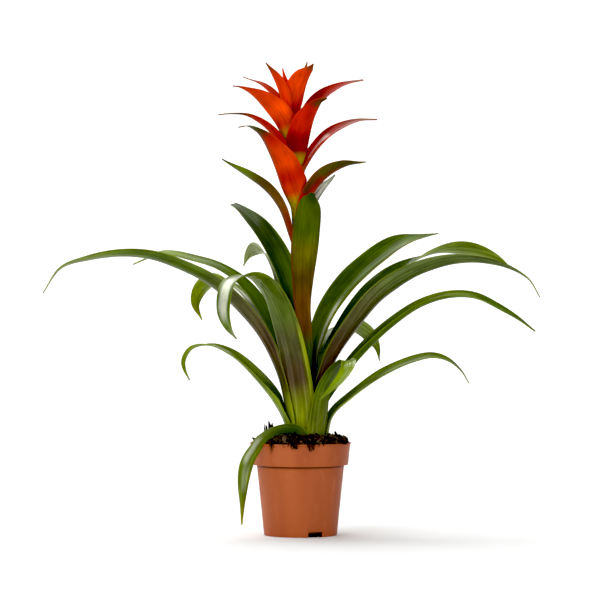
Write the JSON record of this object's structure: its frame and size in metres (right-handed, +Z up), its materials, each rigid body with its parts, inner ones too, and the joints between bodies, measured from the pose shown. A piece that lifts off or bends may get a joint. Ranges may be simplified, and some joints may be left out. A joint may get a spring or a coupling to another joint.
{
  "type": "potted bromeliad",
  "caption": "Flowering bromeliad with arching strap leaves and an upright spike of red bracts, growing in soil in a round terracotta-coloured plastic nursery pot.",
  "frame": {"origin": "centre of the pot's base, on the surface that it stands on", "axes": "+Z up along the pot's axis, +X to the right and +Y away from a viewer who sees the plant as in the picture"},
  "size_m": [0.5799, 0.3915, 0.5631],
  "materials": {
    "pot_plastic": "satin terracotta-coloured plastic",
    "soil": "rough dark peat and bark",
    "leaf_green": "glossy green leaf, dark above and olive below",
    "stalk_green": "satin olive green stem",
    "bract_green": "satin green bract, tinged orange",
    "bract_red": "satin orange-red bract"
  },
  "bodies": {
    "root": {"pot": "pot_plastic", "soil": "soil", "flower_stalk": "stalk_green", "leaf_over_rim": "leaf_green", "leaf_low_right": "leaf_green", "leaf_low_left": "leaf_green", "leaf_front_folded": "leaf_green", "leaf_long_left": "leaf_green", "leaf_front_arched": "leaf_green", "leaf_back_low": "leaf_green", "leaf_mid_right": "leaf_green", "leaf_back_left_droop": "leaf_green", "leaf_back_hidden": "leaf_green", "leaf_long_right": "leaf_green", "leaf_left_dark": "leaf_green", "leaf_back_right_short": "leaf_green", "leaf_right_upper": "leaf_green", "leaf_back_left_curl": "leaf_green", "leaf_right_tall": "leaf_green", "leaf_left_tall": "leaf_green", "scape_leaf_front": "bract_green", "bract_low_left": "bract_green", "bract_low_back": "bract_green", "bract_pale_back": "bract_green", "bract_low_right": "bract_red", "bract_front_left": "bract_red", "bract_left_long": "bract_red", "bract_back_a": "bract_red", "bract_right_shiny": "bract_red", "bract_front_right": "bract_red", "bract_back_b": "bract_red", "bract_left_front": "bract_red", "bract_right_thin": "bract_red", "bract_back_c": "bract_red", "bract_left_thin": "bract_red", "bract_top_left": "bract_red", "bract_top_right": "bract_red", "bract_top_spike_right": "bract_red", "bract_top_spike_left": "bract_red", "bract_heart": "bract_red"}
  },
  "joints": []
}
